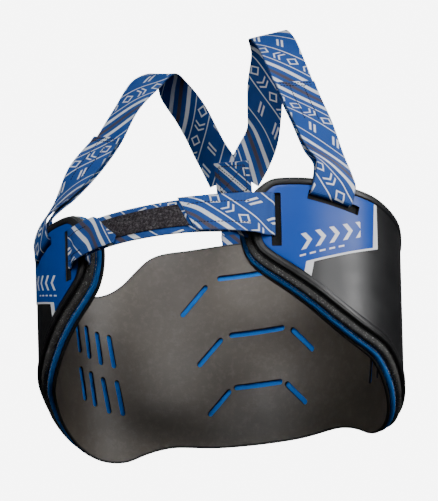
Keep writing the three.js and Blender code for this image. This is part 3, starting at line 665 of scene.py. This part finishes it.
def stitch_mesh(name, runs):
    """Threads along straight runs on ribbons: (ribbon, u0, v0, u1, v1, side)."""
    verts, faces = [], []
    for ribbon, u0, v0, u1, v1, side in runs:
        def place(t, lift):
            return ribbon.at(u0 + (u1 - u0) * t, v0 + (v1 - v0) * t, side, lift)

        length = math.hypot(u1 - u0, v1 - v0)
        for i in range(max(1, int(length / STITCH_PITCH))):
            a = (i * STITCH_PITCH + STITCH_GAP / 2) / length
            b = min(1.0, ((i + 1) * STITCH_PITCH - STITCH_GAP / 2) / length)
            base = len(verts)
            for share, lift, fat in STITCH:
                t = a + (b - a) * share
                p, normal = place(t, lift)
                ahead, behind = place(min(t + 0.01, 1), lift)[0], place(max(t - 0.01, 0), lift)[0]
                across = unit(np.cross(normal, ahead - behind))
                for s in range(THREAD_SIDES):
                    turn = 2 * math.pi / THREAD_SIDES * s
                    way = across * math.cos(turn) + normal * math.sin(turn)
                    verts.append(p + way * THREAD_RADIUS * fat)
            add_tube(faces, base, THREAD_SIDES, len(STITCH))
    return new_object(name, verts, faces)


# Materials
class Nodes:
    """Short names for the nodes of one material."""

    def __init__(self, name):
        self.mat = bpy.data.materials.new(name)
        self.mat.use_nodes = True
        self.tree = self.mat.node_tree
        self.bsdf = self.tree.nodes["Principled BSDF"]
        self.links = self.tree.links

    def put(self, socket, value):
        if isinstance(value, bpy.types.NodeSocket):
            self.links.new(value, socket)
        else:
            socket.default_value = value

    def node(self, kind, out=0, inputs=None):
        n = self.tree.nodes.new(kind)
        for k, v in (inputs or {}).items():
            self.put(n.inputs[k], v)
        return n.outputs[out]

    def math(self, op, a, b=0.0, c=0.0, clamp=False):
        n = self.tree.nodes.new("ShaderNodeMath")
        n.operation = op
        n.use_clamp = clamp
        for socket, v in zip(n.inputs, (a, b, c)):
            self.put(socket, v)
        return n.outputs[0]

    def either(self, first, *others):
        """The greatest of several masks."""
        for mask in others:
            first = self.math("MAXIMUM", first, mask)
        return first

    def away(self, x, middle):
        """Distance from x to middle, to either side."""
        return self.math("ABSOLUTE", self.math("SUBTRACT", x, middle))

    def mix(self, fac, a, b):
        n = self.tree.nodes.new("ShaderNodeMix")
        n.data_type = "RGBA"
        self.put(n.inputs[0], fac)
        self.put(n.inputs[6], a)
        self.put(n.inputs[7], b)
        return n.outputs[2]

    def noise(self, vector, scale, detail=3.0, rough=0.5):
        n = self.tree.nodes.new("ShaderNodeTexNoise")
        self.put(n.inputs["Vector"], vector)
        n.inputs["Scale"].default_value = scale
        n.inputs["Detail"].default_value = detail
        n.inputs["Roughness"].default_value = rough
        return n.outputs["Fac"]

    def ramp(self, fac, stops):
        n = self.tree.nodes.new("ShaderNodeValToRGB")
        e = n.color_ramp.elements
        while len(e) < len(stops):
            e.new(0.5)
        for item, (pos, col) in zip(e, stops):
            item.position = pos
            item.color = (*col, 1)
        self.put(n.inputs[0], fac)
        return n.outputs[0]

    def coord(self, kind="Object"):
        return self.node("ShaderNodeTexCoord", kind)

    def split(self, vector):
        n = self.tree.nodes.new("ShaderNodeSeparateXYZ")
        self.put(n.inputs[0], vector)
        return n.outputs

    def band(self, x, low, high, soft):
        """1 between low and high, with soft edges."""
        up = self.node("ShaderNodeMapRange", 0, {
            0: x, 1: low - soft, 2: low + soft, 3: 0.0, 4: 1.0})
        down = self.node("ShaderNodeMapRange", 0, {
            0: x, 1: high - soft, 2: high + soft, 3: 1.0, 4: 0.0})
        return self.math("MULTIPLY", up, down)

    def bump(self, height, strength, distance):
        return self.node("ShaderNodeBump", 0, {
            "Height": height, "Strength": strength, "Distance": distance})

    def finish(self, color, rough, normal=None, specular=0.5):
        self.put(self.bsdf.inputs["Base Color"], color)
        self.put(self.bsdf.inputs["Roughness"], rough)
        self.put(self.bsdf.inputs["Specular IOR Level"], specular)
        if normal is not None:
            self.links.new(normal, self.bsdf.inputs["Normal"])
        return self.mat


def shell_material():
    m = Nodes("shell_plastic")
    p = m.coord()
    broad = m.noise(p, 14, 3)
    fine = m.noise(p, 900, 2)
    color = m.ramp(broad, [(0.3, (0.010, 0.010, 0.011)), (0.75, (0.019, 0.019, 0.020))])
    rough = m.ramp(m.noise(p, 55, 4), [(0.3, (0.33,) * 3), (0.75, (0.45,) * 3)])
    return m.finish(color, rough, m.bump(fine, 0.12, 0.0003), specular=0.42)


def foam_material(name, dark, light, speck):
    m = Nodes(name)
    p = m.coord()
    blotch = m.noise(p, 60, 4, 0.6)
    cells = m.node("ShaderNodeTexVoronoi", "Distance", {"Vector": p, "Scale": 420})
    grain = m.noise(p, 672, 3, 0.7)
    base = m.mix(m.math("MULTIPLY_ADD", blotch, 1.6, -0.3, clamp=True), (*dark, 1), (*light, 1))
    specks = m.math("GREATER_THAN", grain, 0.62)
    color = m.mix(m.math("MULTIPLY", specks, 0.6), base, (*speck, 1))
    height = m.math("ADD", m.math("MULTIPLY", cells, 0.5), grain)
    return m.finish(color, 0.86, m.bump(height, 0.5, 0.0006), specular=0.3)


def liner_material():
    m = Nodes("liner_sheet")
    p = m.coord()
    cloud = m.noise(p, 9, 5, 0.6)
    fine = m.noise(p, 650, 3, 0.7)
    dust = m.noise(p, 160, 5, 0.75)
    base = m.ramp(cloud, [(0.3, (0.056, 0.046, 0.037)), (0.7, (0.092, 0.077, 0.062))])
    color = m.mix(m.math("MULTIPLY_ADD", dust, 1.5, -0.72, clamp=True), base, (0.15, 0.128, 0.106, 1))
    rough = m.ramp(m.noise(p, 40, 4), [(0.3, (0.40,) * 3), (0.75, (0.52,) * 3)])
    return m.finish(color, rough, m.bump(fine, 0.35, 0.00035), specular=0.5)


def edge_material():
    m = Nodes("liner_edge")
    p = m.coord()
    return m.finish((0.008, 0.008, 0.008, 1), 0.6, m.bump(m.noise(p, 500, 3), 0.3, 0.0004))


def webbing_material(name, slope, phase, flip):
    """Webbing with slanted stripes: their slope, where they start and which way they lean."""
    m = Nodes(name)
    uv = m.coord("UV")
    x, y, _ = m.split(uv)
    u = m.math("MULTIPLY", x, 1000.0 * flip)
    v = m.math("MULTIPLY_ADD", y, 1000.0, phase)
    # t runs across the slanted stripes and w along them
    c, s = math.cos(math.atan(slope)), math.sin(math.atan(slope))
    t = m.math("ADD", m.math("MULTIPLY", v, c), m.math("MULTIPLY", u, s))
    w = m.math("SUBTRACT", m.math("MULTIPLY", u, c), m.math("MULTIPLY", v, s))
    f = m.math("FLOORED_MODULO", t, PRINT_PERIOD)
    f = m.math("ADD", f, m.math("MULTIPLY_ADD", m.noise(uv, 900, 2), 0.4, -0.2))
    stripes = WIDE_STRIPES + [(low, low + THIN_WIDTH) for low in THIN_STRIPES]
    white = m.either(*[m.band(f, *stripe, PRINT_SOFT) for stripe in stripes])
    grey = m.band(f, *GREY_STRIPE, FIGURE_SOFT)
    # a row of outlined diamonds and arrows, then a row of short slanted bars
    cell = m.math("FLOORED_MODULO", w, FIGURE_STEP)
    dy = m.away(f, FIGURE_ROW)
    dx = m.away(cell, DIAMOND_AT)
    ring = m.band(m.math("ADD", m.math("MULTIPLY", dx, 0.8), dy), *DIAMOND_LINE, FIGURE_SOFT)
    lean = m.math("SUBTRACT", cell, m.math("MULTIPLY", dy, 0.75))
    arrows = m.either(*[m.band(lean, *arrow, FIGURE_SOFT) for arrow in ARROWS])
    arrows = m.math("MULTIPLY", arrows, m.math("LESS_THAN", dy, FIGURE_REACH))
    slant = m.math("FLOORED_MODULO", m.math("MULTIPLY_ADD", f, 0.6, w), BAR_STEP)
    bars = m.either(*[m.band(slant, *bar, FIGURE_SOFT) for bar in BARS])
    bars = m.math("MULTIPLY", bars, m.math("LESS_THAN", m.away(f, BAR_ROW), BAR_REACH))
    white = m.either(white, ring, arrows, bars)
    rib = m.math("SINE", m.math("MULTIPLY", v, 2 * math.pi / RIB_PITCH))
    yarn = m.math("SINE", m.math("MULTIPLY", u, 2 * math.pi / YARN_PITCH))
    both = m.math("MULTIPLY", rib, yarn)
    weave = m.math("ADD", m.math("MULTIPLY", rib, 0.6), m.math("MULTIPLY", both, 0.4))
    shade = m.math("MULTIPLY_ADD", weave, 0.5, 0.5)
    blotch = m.noise(uv, 35, 3)
    blue = m.mix(m.math("MULTIPLY_ADD", shade, 0.7, 0.25, clamp=True),
                 (0.001, 0.022, 0.13, 1), (0.005, 0.080, 0.38, 1))
    blue = m.mix(m.math("MULTIPLY_ADD", blotch, 0.8, -0.25, clamp=True), blue, (0.003, 0.060, 0.30, 1))
    whites = m.mix(shade, (0.62, 0.67, 0.75, 1), (0.93, 0.94, 0.96, 1))
    greys = m.mix(shade, (0.030, 0.024, 0.040, 1), (0.095, 0.075, 0.10, 1))
    color = m.mix(grey, blue, greys)
    color = m.mix(white, color, whites)
    border = m.band(m.math("ABSOLUTE", u), WEB / 2 - 0.8, WEB / 2 + 10, 0.15)
    color = m.mix(m.math("MULTIPLY", border, 0.75), color, (0.004, 0.03, 0.13, 1))
    return m.finish(color, 0.62, m.bump(weave, 0.55, 0.0004), specular=0.42)


def thread_material():
    m = Nodes("stitch_thread")
    p = m.coord()
    color = m.ramp(m.noise(p, 700, 2), [(0.3, (0.003, 0.004, 0.010)), (0.8, (0.010, 0.013, 0.028))])
    return m.finish(color, 0.6, specular=0.4)


def fuzz_material():
    m = Nodes("pad_fuzz")
    p = m.coord()
    color = m.ramp(m.noise(p, 500, 2), [(0.35, (0.10, 0.12, 0.14)), (0.65, (0.75, 0.76, 0.78))])
    return m.finish(color, 0.9, specular=0.2)


def patch_material():
    m = Nodes("loop_fabric")
    p = m.coord()
    fuzz = m.noise(p, 1100, 4, 0.8)
    clump = m.noise(p, 420, 3, 0.7)
    stops = [(0.38, (0.006, 0.005, 0.006)), (0.52, (0.040, 0.035, 0.040)), (0.64, (0.15, 0.14, 0.15))]
    color = m.ramp(m.math("MULTIPLY_ADD", clump, 0.5, m.math("MULTIPLY", fuzz, 0.5)), stops)
    return m.finish(color, 0.95, m.bump(m.math("ADD", fuzz, clump), 0.9, 0.0011), specular=0.15)


def panel_material():
    m = Nodes("panel_print")
    uv = m.coord("UV")
    x, y, _ = m.split(uv)
    arc = m.math("ABSOLUTE", m.math("MULTIPLY", x, 1000.0))
    z = m.math("MULTIPLY", y, 1000.0)
    (rear, rear_z), (corner, corner_z), (tail, tail_z) = [
        (float(arc_at(a)), h * BACK) for a, h in (PANEL_REAR, PANEL_CORNER, PANEL_TAIL)]
    # thin border under the panel, white strip along its rear end, strip down to the rim
    slope = (corner_z - rear_z) / (corner - rear)
    a2 = m.math("SUBTRACT", arc, rear)
    under = m.math("SUBTRACT", z, m.math("MULTIPLY_ADD", a2, slope, rear_z))
    border = m.math("MULTIPLY", m.band(under, -2.0, 1.9, 0.12), m.band(arc, rear - 5, corner + 6, 0.2))
    strip = m.band(m.math("MULTIPLY_ADD", z, 0.06, a2), -9.0, 7.6, 0.12)
    slope2 = (tail - corner) / (tail_z - corner_z)
    drop = m.math("SUBTRACT", z, corner_z)
    beyond = m.math("SUBTRACT", arc, m.math("MULTIPLY_ADD", drop, slope2, corner))
    lower = m.math("MULTIPLY", m.band(beyond, -3.0, 7.0, 0.15), m.band(under, -90, 1.9, 0.12))
    # plain chevrons, with a row of dashes under them
    high = m.away(under, CHEVRON_HEIGHT)
    step = m.math("FLOORED_MODULO", m.math("MULTIPLY_ADD", high, -0.75, a2), CHEVRON_STEP)
    chevrons = m.math("MULTIPLY", m.band(step, *CHEVRON_LINE, 0.15), m.band(high, -1.0, 7.5, 0.15))
    chevrons = m.math("MULTIPLY", chevrons, m.band(a2, *CHEVRON_RUN, 0.15))
    step = m.math("FLOORED_MODULO", a2, DASH_STEP)
    dashes = m.math("MULTIPLY", m.band(step, *DASH_LINE, 0.15), m.band(under, *DASH_BAND, 0.12))
    dashes = m.math("MULTIPLY", dashes, m.band(a2, *DASH_RUN, 0.15))
    white = m.either(border, strip, lower, chevrons, dashes)
    p = m.coord()
    tone = m.noise(p, 22, 3)
    blue = m.mix(tone, (0.0, 0.048, 0.32, 1), (0.0005, 0.066, 0.40, 1))
    color = m.mix(white, blue, (0.80, 0.81, 0.84, 1))
    rough = m.ramp(m.noise(p, 90, 3), [(0.3, (0.32,) * 3), (0.8, (0.41,) * 3)])
    return m.finish(color, rough, m.bump(m.noise(p, 160, 3), 0.03, 0.0002), specular=0.28)


def glow_material(name):
    m = Nodes(name)
    m.bsdf.inputs["Base Color"].default_value = (1, 1, 1, 1)
    m.bsdf.inputs["Emission Color"].default_value = (1, 1, 1, 1)
    m.bsdf.inputs["Emission Strength"].default_value = GLOW
    return m.mat


# Camera
camera_data = bpy.data.cameras.new("camera")
camera_data.lens = CAMERA_LENS
camera_data.sensor_width = 36
camera_data.clip_end = 50
camera = bpy.data.objects.new("camera", camera_data)
camera.matrix_world = Matrix.Translation(CAMERA_PLACE) @ Matrix((
    (RIGHT.x, UP.x, -FORWARD.x, 0), (RIGHT.y, UP.y, -FORWARD.y, 0),
    (RIGHT.z, UP.z, -FORWARD.z, 0), (0, 0, 0, 1)))
bpy.context.scene.collection.objects.link(camera)
bpy.context.scene.camera = camera

# The part has no joints, so every piece rides on its one body
BODY = sorted(frame["bodies"])[0]


def dress(obj, node, material, edge=None):
    """Gives a piece its look, puts it on the body and hides the node it replaces."""
    obj.data.materials.append(material)
    second = obj.pop("second", None)
    if edge is not None:
        obj.data.materials.append(edge)
        obj.data.polygons.foreach_set("material_index", list(second))
    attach(obj, BODY)
    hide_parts(node)


# Shell, with a fine groove along its raised rim
shell_rows = [
    (0, RIM_RISE - 1.0, SHELL_IN + 0.5), (0.35, RIM_RISE - 0.4, SHELL_IN + 0.1),
    (0.9, RIM_RISE - 0.1, SHELL_IN), (1.4, RIM_RISE, SHELL_IN), (2.0, RIM_RISE - 0.25, SHELL_IN),
    (2.6, RIM_RISE, SHELL_IN), (3.2, RIM_RISE, SHELL_IN), (RIM_WIDTH - 0.9, RIM_RISE, SHELL_IN),
    (RIM_WIDTH - 0.4, RIM_RISE - 0.25, SHELL_IN), (RIM_WIDTH, 0.22, SHELL_IN),
    (RIM_WIDTH + 0.4, 0, SHELL_IN), (RIM_WIDTH + 1.2, 0, SHELL_IN), (RIM_WIDTH + 3, 0, SHELL_IN),
]
shell = plate("shell_body", outline(0), HOLES, shell_rows, 0.5, SHEET_STEP)
dress(shell, "outer_shell", shell_material())


# Foam pads
def foam_rows(out, inn, edge_strip):
    """Rounded edge, then a strip as wide as edge_strip that gets the second look: grey cut foam on the
    outer pad, a darker blue painted as shade on the middle pad.
    """
    return [(0, out - 2.0, inn + 1.0), (0.35, out - 1.0, inn + 0.45), (1.0, out - 0.3, inn + 0.12),
            (2.0, out, inn), (edge_strip, out, inn)]


def foam_pad(name, reach, out, inn, edge_strip):
    rows = foam_rows(out, inn, edge_strip)
    return plate(name, outline(reach), [], rows, 0, SHEET_STEP, cut=edge_strip - BARE_MARGIN)


# The outer pad's face is near black: painted shade for the dark gap between the shell and the pad. The
# strip along its edge and its side walls are the grey cut foam.
foam1 = foam_pad("pad_outer", REACH_OUTER, F1_OUT, F1_IN, BARE_OUTER)
dress(foam1, "foam_outer",
      foam_material("foam_face_painted_shade", (0.006, 0.006, 0.006), (0.014, 0.014, 0.014), (0.03, 0.03, 0.03)),
      foam_material("foam_grey", (0.022, 0.022, 0.022), (0.075, 0.075, 0.073), (0.36, 0.36, 0.35)))
# The blue pad's side walls and the strip along its edge are a darker blue than its face: painted shade on
# the band along the edge.
foam2 = foam_pad("pad_middle", REACH_MIDDLE, F2_OUT, F2_IN, SHADE_STRIP_MIDDLE)
dress(foam2, "foam_middle",
      foam_material("foam_blue", (0.002, 0.13, 0.60), (0.006, 0.20, 0.78), (0.03, 0.30, 0.85)),
      foam_material("foam_blue_edge_painted_shade", (0.001, 0.085, 0.33), (0.003, 0.13, 0.46), (0.03, 0.21, 0.58)))

# Liner
cuts = []
for a0, h0, a1, h1 in LINER_CUTS:
    for s in (1, -1):
        ends = [(s * arc_at(a0), h0 * BACK), (s * arc_at(a1), h1 * BACK)]
        cuts.append(round_slot(*ends, CUT_WIDTH))
for a, h in MIDDLE_CUTS:
    cuts.append(round_slot((arc_at(-a), h * BACK), (arc_at(a), h * BACK), CUT_WIDTH))
liner_rows = [(0, LINER_OUT - 0.5, LINER_IN + 0.5), (0.5, LINER_OUT, LINER_IN),
              (BARE_LINER, LINER_OUT, LINER_IN)]
liner = plate("liner_body", outline(REACH_LINER), cuts, liner_rows, 0.5, SHEET_STEP,
              cut=BARE_LINER - BARE_MARGIN)
dress(liner, "liner_inner", liner_material(), edge_material())


# Light fuzzy line where the blue pad meets the grey one
def lace(name, loop, out):
    """Short loose fibres laid along the loop, with out as their height on the wall."""
    ring = np.concatenate([loop, loop[:1]])
    run = np.concatenate([[0], np.cumsum(np.linalg.norm(np.diff(ring, axis=0), axis=1))])
    verts, faces = [], []
    for v in np.arange(0, run[-1], FUZZ_PITCH * (1)):
        v += rng.uniform(-0.4, 0.4)
        long = rng.uniform(0.4, 0.9)
        lean = rng.uniform(-0.45, 0.45)
        base = len(verts)
        for end in (-1, 1):
            q = [np.interp(v + end * long, run, ring[:, k]) for k in (0, 1)]
            for s in range(FUZZ_SIDES):
                t = 2 * math.pi / FUZZ_SIDES * s
                q2 = wall(q[0], q[1], out + end * lean + FUZZ_RADIUS * math.cos(t))
                verts.append(q2 + np.array([0, 0, FUZZ_RADIUS * math.sin(t)]) if s % 2 else q2)
        add_tube(faces, base, FUZZ_SIDES, 2)
    return new_object(name, verts, faces)


fuzz = lace("pad_fuzz", outline(REACH_OUTER + 0.9), F2_OUT + 0.15)
fuzz.data.materials.append(fuzz_material())
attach(fuzz, BODY)

# Printed panels
panel_mat = panel_material()
for side, name in ((1, "left"), (-1, "right")):
    region = np.array([(side * arc_at(a), h * BACK) for a, h in PANEL])
    panel = plate("panel_" + name, shrink(outline(0), RIM_WIDTH + 0.8), HOLES,
                  [(0, GAP + PANEL_THICK - 0.1, GAP), (0.4, GAP + PANEL_THICK, GAP)],
                  0, PANEL_STEP, region)
    dress(panel, "decal_" + name, panel_mat)

# Webbing
ribbons = {
    "shoulder_strap_left": Ribbon(shoulder_sections(1), WEB_THICK),
    "shoulder_strap_right": Ribbon(shoulder_sections(-1), WEB_THICK),
    "back_strap": Ribbon(tail_sections(), WEB_THICK),
    "front_strap": Ribbon(front_sections(), WEB_THICK),
}
looks = {
    "shoulder_strap_left": webbing_material("webbing_left", 1.0, 8, 1),
    "shoulder_strap_right": webbing_material("webbing_right", 1.0, 30, -1),
    "back_strap": webbing_material("webbing_back", 1.0, 12, 1),
    "front_strap": webbing_material("webbing_front", 1.2, 20, -1),
}
for name, ribbon in ribbons.items():
    dress(ribbon.build("webbing_" + name), name, looks[name])
patch = Ribbon(patch_sections(), PATCH_THICK)
dress(patch.build("loop_band"), "loop_patch", patch_material())


# Threads: seams at the sewn ends and a crossed box where the shoulder straps meet
def outward(ribbon, v):
    """The side of the ribbon that looks away from the body's upright middle line."""
    place, normal = ribbon.at(0, v)
    return 1 if np.dot(normal[:2], place[:2]) > 0 else -1


def crossed_box(ribbon, v0, v1, half, side):
    corners = [(-half, v0), (half, v0), (half, v1), (-half, v1)]
    runs = [(ribbon, *corners[i], *corners[(i + 1) % 4], side) for i in range(4)]
    return runs + [(ribbon, *corners[0], *corners[2], side), (ribbon, *corners[1], *corners[3], side)]


runs = []
for name in ("shoulder_strap_left", "shoulder_strap_right"):
    ribbon = ribbons[name]
    side = outward(ribbon, LOOK_AT)
    runs += [(ribbon, -ACROSS_HALF, v, ACROSS_HALF, v, side) for v in ACROSS_AT]
    runs += [(ribbon, u, SEAM_RUN[0], u, SEAM_RUN[1], side) for u in SEAM_LINES]
front = ribbons["front_strap"]
side = outward(front, LOOK_AT)
runs += [(front, u, FOLD_RUN[0], u, FOLD_RUN[1], side) for u in FOLD_LINES]
end = front.length
side = outward(front, end - TAB_LOOK_AT)
runs += [(front, u, end - TAB_RUN[0], u, end - TAB_RUN[1], side) for u in TAB_LINES]
tail = ribbons["back_strap"]
for side in (1, -1):
    runs += crossed_box(tail, tail.length - BOX_RUN[0], tail.length - BOX_RUN[1], BOX_HALF, side)
threads = stitch_mesh("threads", runs)
threads.data.materials.append(thread_material())
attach(threads, BODY)

# Floor and backdrop: white paper that only the camera sees glow
bpy.ops.mesh.primitive_plane_add(size=30, location=(0, 0, FLOOR_HEIGHT))
floor = bpy.context.active_object
floor.name = "floor"
floor.data.materials.append(glow_material("floor_paper"))
bpy.ops.mesh.primitive_plane_add(size=1)
backdrop = bpy.context.active_object
backdrop.name = "backdrop"
turned = camera.matrix_world.to_3x3().to_4x4()
backdrop.matrix_world = (Matrix.Translation(camera.location + FORWARD * BACKDROP_AWAY) @ turned
                         @ Matrix.Diagonal(BACKDROP_SIZE))
backdrop.data.materials.append(glow_material("backdrop_glow"))
for paper in (floor, backdrop):
    paper.visible_diffuse = False
    paper.visible_glossy = False

# World: the same white behind everything, which lights nothing
world = bpy.data.worlds.new("studio")
world.use_nodes = True
world.node_tree.nodes["Background"].inputs["Color"].default_value = (1, 1, 1, 1)
world.node_tree.nodes["Background"].inputs["Strength"].default_value = GLOW
bpy.context.scene.world = world
world.cycles_visibility.diffuse = False
world.cycles_visibility.glossy = False


def around(azimuth, elevation, distance):
    """A place round the object; azimuth 0 is in front and 90 on the wearer's left."""
    a, e = math.radians(azimuth), math.radians(elevation)
    way = Vector((math.sin(a) * math.cos(e), -math.cos(a) * math.cos(e), math.sin(e)))
    return way * distance + Vector((0, 0, 0.05))


def lamp(name, kind, place, target, power):
    data = bpy.data.lights.new(name, kind)
    data.energy = power
    made = bpy.data.objects.new(name, data)
    made.location = place
    made.rotation_euler = (Vector(target) - place).to_track_quat("-Z", "Y").to_euler()
    bpy.context.scene.collection.objects.link(made)
    return data


# Lamps: spots through the front opening onto the liner, areas for the shell's sides and back
for name, azimuth, elevation, power in SPOTS:
    data = lamp(name, "SPOT", around(azimuth, elevation, SPOT_DISTANCE), SPOT_TARGET, power)
    data.spot_size = math.radians(SPOT_CONE)
    data.spot_blend = 1.0
    data.shadow_soft_size = SPOT_SIZE
for name, azimuth, elevation, distance, size, power in AREAS:
    data = lamp(name, "AREA", around(azimuth, elevation, distance), AREA_TARGET, power)
    data.shape = "RECTANGLE"
    data.size, data.size_y = size
